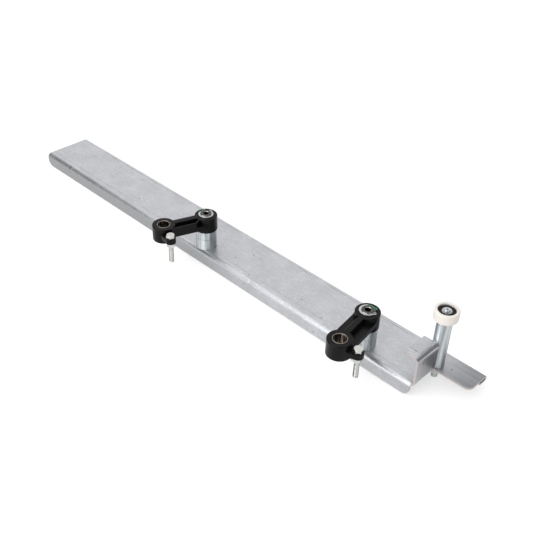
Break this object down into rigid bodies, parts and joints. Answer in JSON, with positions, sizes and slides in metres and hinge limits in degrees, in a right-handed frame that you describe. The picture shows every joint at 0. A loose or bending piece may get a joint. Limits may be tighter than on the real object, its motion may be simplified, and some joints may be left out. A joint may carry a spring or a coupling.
{
  "type": "lift door coupler vane",
  "caption": "Bent sheet coupler vane of an automatic lift door, carried on swinging moulded link arms with stop screws, with a hook and a bearing roller on a tall post.",
  "frame": {"origin": "on the coupling face, the outer face of the front flange, at half the vane length and half the height of its flat part", "axes": "+X along the vane towards its hook and roller, +Y from the coupling face to the hemmed rear edge, +Z from the sheet to the link arms"},
  "size_m": [0.598, 0.1031, 0.078],
  "materials": {
    "galvanised_sheet": "galvanised, dull",
    "zinc_turned": "bright zinc plated, turned",
    "arm_plastic": "black glass-filled nylon, satin",
    "bush_bronze": "sintered bronze, dull",
    "spring_steel": "phosphated and wiped spring steel",
    "zinc_fastener": "bright zinc plated",
    "roller_plastic": "cream plastic, satin",
    "bearing_steel": "ground bearing steel",
    "cage_steel": "pressed steel",
    "seal_rubber": "black rubber"
  },
  "bodies": {
    "vane": {"vane_channel": "galvanised_sheet", "pivot_post_1": "zinc_turned", "spacer_sleeve_1": "zinc_turned", "pivot_circlip_1": "spring_steel", "pivot_post_2": "zinc_turned", "spacer_sleeve_2": "zinc_turned", "pivot_circlip_2": "spring_steel", "roller_post": "zinc_turned", "post_washer": "zinc_fastener", "post_nut": "zinc_fastener", "bearing_inner_ring": "bearing_steel", "roller_circlip": "spring_steel"},
    "arm_1": {"link_arm_1": "arm_plastic", "pivot_bush_1": "bush_bronze", "end_bush_1": "bush_bronze", "stop_screw_1": "zinc_fastener", "lock_nut_1": "zinc_fastener"},
    "arm_2": {"link_arm_2": "arm_plastic", "pivot_bush_2": "bush_bronze", "end_bush_2": "bush_bronze", "stop_screw_2": "zinc_fastener", "lock_nut_2": "zinc_fastener"},
    "roller": {"roller_tyre": "roller_plastic", "bearing_outer_ring": "bearing_steel", "bearing_balls": "bearing_steel", "bearing_cage": "cage_steel", "bearing_seal_upper": "seal_rubber", "bearing_seal_lower": "seal_rubber"}
  },
  "joints": [
    {"name": "link_arm_1_pivot", "type": "hinge", "parent": "vane", "child": "arm_1", "pos_m": [-0.017, 0.0125, 0.0396], "axis": [0, 0, 1], "continuous": true},
    {"name": "link_arm_2_pivot", "type": "hinge", "parent": "vane", "child": "arm_2", "pos_m": [0.1973, 0.0125, 0.0396], "axis": [0, 0, 1], "range_deg": [-248, 41]},
    {"name": "roller_spin", "type": "hinge", "parent": "vane", "child": "roller", "pos_m": [0.2591, 0.0386, 0.0671], "axis": [0, 0, 1], "continuous": true}
  ]
}
